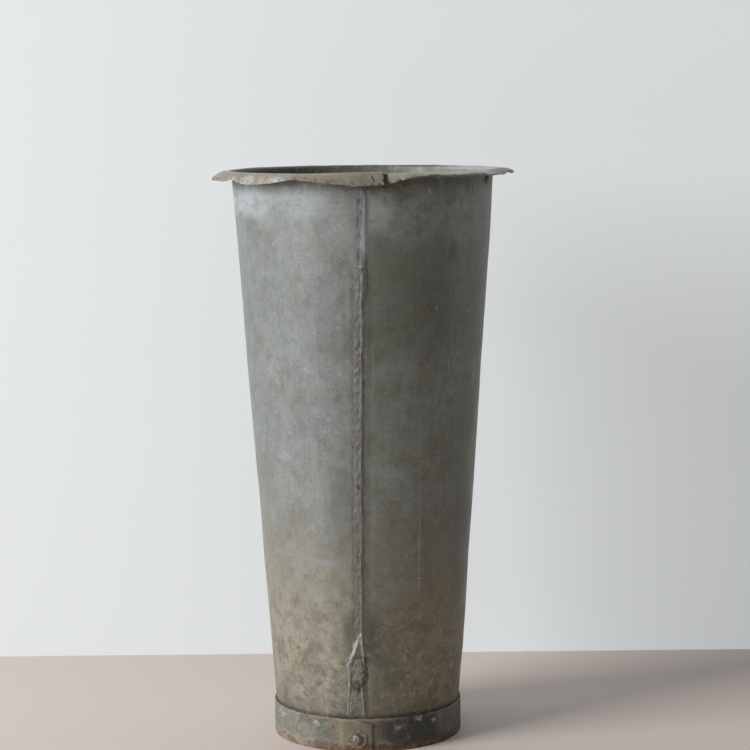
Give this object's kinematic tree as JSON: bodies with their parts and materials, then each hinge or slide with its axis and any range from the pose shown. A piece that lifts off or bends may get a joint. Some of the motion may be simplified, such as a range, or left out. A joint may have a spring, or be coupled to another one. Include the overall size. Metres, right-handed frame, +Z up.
{
  "type": "florist bucket",
  "caption": "Tall tapered florist bucket of aged galvanised sheet, with a turned-out lip, a soldered front lap and a riveted hoop round the foot.",
  "frame": {"origin": "centre of the foot hoop on the floor", "axes": "+Z up along the bucket's axis, -Y towards the soldered seam, +X to the right when facing the seam"},
  "size_m": [0.2638, 0.2606, 0.501],
  "materials": {
    "aged_zinc": "dull weathered galvanised sheet, mottled grey and tan",
    "worn_zinc": "water-stained galvanised sheet",
    "rusted_hoop": "weathered galvanised strip with a rusted lower edge",
    "rivet_iron": "dull brown iron",
    "solder": "dull lumpy solder"
  },
  "bodies": {
    "root": {"wall_sheet": "aged_zinc", "base_disc": "worn_zinc", "base_solder": "solder", "foot_hoop": "rusted_hoop", "hoop_solder": "solder", "hoop_rivet": "rivet_iron", "hoop_rivet_washer": "rivet_iron", "rim_rivet": "rivet_iron", "seam_fillet": "solder", "seam_solder_run": "solder", "seam_solder_pool": "solder"}
  },
  "joints": []
}
